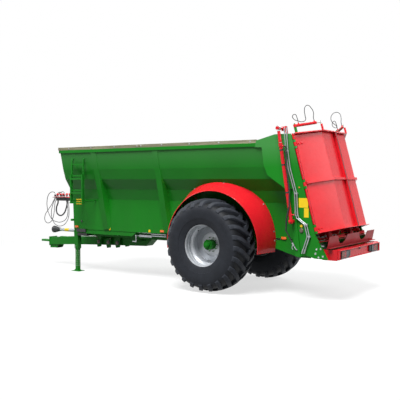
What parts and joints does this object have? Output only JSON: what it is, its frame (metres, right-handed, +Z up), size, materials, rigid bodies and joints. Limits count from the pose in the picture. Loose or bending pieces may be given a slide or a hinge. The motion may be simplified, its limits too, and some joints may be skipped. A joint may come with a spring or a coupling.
{
  "type": "manure spreader",
  "caption": "Towed single-axle manure spreader with a folded-sheet body, lifting slurry gate, vertical beaters and hinged rear doors.",
  "frame": {"origin": "on the ground under the middle of the machine's bounding box, which is about 1.71 m ahead of the axle", "axes": "+X forward to the towing eye, +Y to the machine's left, +Z up; the wheels and the jack's foot stand on z = 0"},
  "size_m": [8.7, 2.98, 3.5365],
  "materials": {
    "body_green": "gloss",
    "frame_green": "satin",
    "dark_green": "satin",
    "gloss_red": "gloss",
    "rim_silver": "satin",
    "tyre_rubber": "matte",
    "hose_rubber": "matte",
    "bare_steel": "satin",
    "timber": "matte",
    "black_plastic": "matte",
    "orange_lens": "gloss",
    "grey_plastic": "satin",
    "pipe_grey": "satin",
    "rod_chrome": "polished"
  },
  "bodies": {
    "chassis": {"left_side_wall": "body_green", "right_side_wall": "body_green", "front_wall": "body_green", "floor_deck": "dark_green", "side_ribs": "body_green", "top_rails": "frame_green", "timber_boards": "timber", "rear_gussets": "body_green", "left_rear_frame": "body_green", "right_rear_frame": "body_green", "rear_roof_beam": "frame_green", "beater_pan": "gloss_red", "rear_bumper": "gloss_red", "rear_lamps": "black_plastic", "main_frame": "frame_green", "cross_members": "frame_green", "drawbar": "frame_green", "towing_eye": "frame_green", "axle": "dark_green", "left_mudguard": "gloss_red", "right_mudguard": "gloss_red", "jack_sleeve": "frame_green", "ladder": "frame_green", "hose_holder": "gloss_red", "driveline": "pipe_grey", "beater_gearboxes": "dark_green", "floor_conveyor": "bare_steel", "gate_barrels": "gloss_red", "side_markers": "orange_lens", "storage_box": "black_plastic", "hydraulic_pipes": "pipe_grey", "gate_hoses": "hose_rubber", "brake_crank": "pipe_grey", "pto_guard": "grey_plastic", "front_hose_loop_a": "hose_rubber", "front_hose_loop_b": "hose_rubber", "front_hose_loop_c": "hose_rubber", "front_hose_loop_d": "hose_rubber"},
    "left_wheel": {"left_tyre": "tyre_rubber", "left_rim": "rim_silver", "left_hub": "frame_green"},
    "right_wheel": {"right_tyre": "tyre_rubber", "right_rim": "rim_silver", "right_hub": "frame_green"},
    "left_door_leaf": {"left_door": "gloss_red"},
    "right_door_leaf": {"right_door": "gloss_red"},
    "left_ram_barrel": {"left_door_barrel": "gloss_red", "left_rear_hose": "hose_rubber"},
    "right_ram_barrel": {"right_door_barrel": "gloss_red", "right_rear_hose": "hose_rubber"},
    "left_ram_rod": {"left_door_rod": "rod_chrome"},
    "right_ram_rod": {"right_door_rod": "rod_chrome"},
    "gate": {"slurry_gate": "gloss_red", "gate_rods": "rod_chrome"},
    "left_rotor": {"left_beater": "gloss_red"},
    "right_rotor": {"right_beater": "gloss_red"},
    "pto": {"pto_shaft": "bare_steel"},
    "jack": {"jack_leg": "frame_green"},
    "folding_steps": {"ladder_lower": "frame_green"}
  },
  "joints": [
    {"name": "left_wheel_spin", "type": "hinge", "parent": "chassis", "child": "left_wheel", "pos_m": [-1.71, 1.105, 0.91], "axis": [0, 1, 0], "continuous": true},
    {"name": "right_wheel_spin", "type": "hinge", "parent": "chassis", "child": "right_wheel", "pos_m": [-1.71, -1.105, 0.91], "axis": [0, 1, 0], "continuous": true},
    {"name": "left_door_swing", "type": "hinge", "parent": "chassis", "child": "left_door_leaf", "pos_m": [-3.959, 1.1, 1.224], "axis": [-0.2588, 0, -0.9659], "range_deg": [0, 105]},
    {"name": "right_door_swing", "type": "hinge", "parent": "chassis", "child": "right_door_leaf", "pos_m": [-3.959, -1.1, 1.224], "axis": [0.2588, 0, 0.9659], "range_deg": [0, 105]},
    {"name": "left_ram_turn", "type": "hinge", "parent": "chassis", "child": "left_ram_barrel", "pos_m": [-3.45387, 0.95, 3.14782], "axis": [-0.2588, 0, -0.9659], "range_deg": [0, 106.14]},
    {"name": "left_ram_stroke", "type": "slide", "parent": "left_ram_barrel", "child": "left_ram_rod", "axis": [-0.6112, -0.7744, 0.1638], "range_m": [0, 0.2404]},
    {"name": "right_ram_turn", "type": "hinge", "parent": "chassis", "child": "right_ram_barrel", "pos_m": [-3.45387, -0.95, 3.14782], "axis": [0.2588, 0, 0.9659], "range_deg": [0, 106.14]},
    {"name": "right_ram_stroke", "type": "slide", "parent": "right_ram_barrel", "child": "right_ram_rod", "axis": [-0.6112, 0.7744, 0.1638], "range_m": [0, 0.2404]},
    {"name": "gate_lift", "type": "slide", "parent": "chassis", "child": "gate", "axis": [0.1564, 0, 0.9877], "range_m": [0, 1.2]},
    {"name": "left_beater_spin", "type": "hinge", "parent": "chassis", "child": "left_rotor", "pos_m": [-3.948, 0.5, 1.095], "axis": [0.1908, 0, 0.9816], "continuous": true},
    {"name": "right_beater_spin", "type": "hinge", "parent": "chassis", "child": "right_rotor", "pos_m": [-3.948, -0.5, 1.095], "axis": [0.1908, 0, 0.9816], "continuous": true},
    {"name": "pto_spin", "type": "hinge", "parent": "chassis", "child": "pto", "pos_m": [3.29, 0, 0.91], "axis": [1, 0, 0], "continuous": true},
    {"name": "jack_wind", "type": "slide", "parent": "chassis", "child": "jack", "axis": [0, 0, 1], "range_m": [0, 0.3]},
    {"name": "steps_fold", "type": "hinge", "parent": "chassis", "child": "folding_steps", "pos_m": [1.99, 1.14, 1.655], "axis": [-1, 0, 0], "range_deg": [0, 175]}
  ],
  "couplings": [
    {"joint": "left_ram_turn", "follows": "left_door_swing", "ratio": 1.0061},
    {"joint": "left_ram_stroke", "follows": "left_door_swing", "m_per_rad": 0.1301},
    {"joint": "right_ram_turn", "follows": "right_door_swing", "ratio": 1.0061},
    {"joint": "right_ram_stroke", "follows": "right_door_swing", "m_per_rad": 0.1301},
    {"joint": "right_beater_spin", "follows": "left_beater_spin", "ratio": -1},
    {"joint": "pto_spin", "follows": "left_beater_spin", "ratio": 2.5}
  ]
}
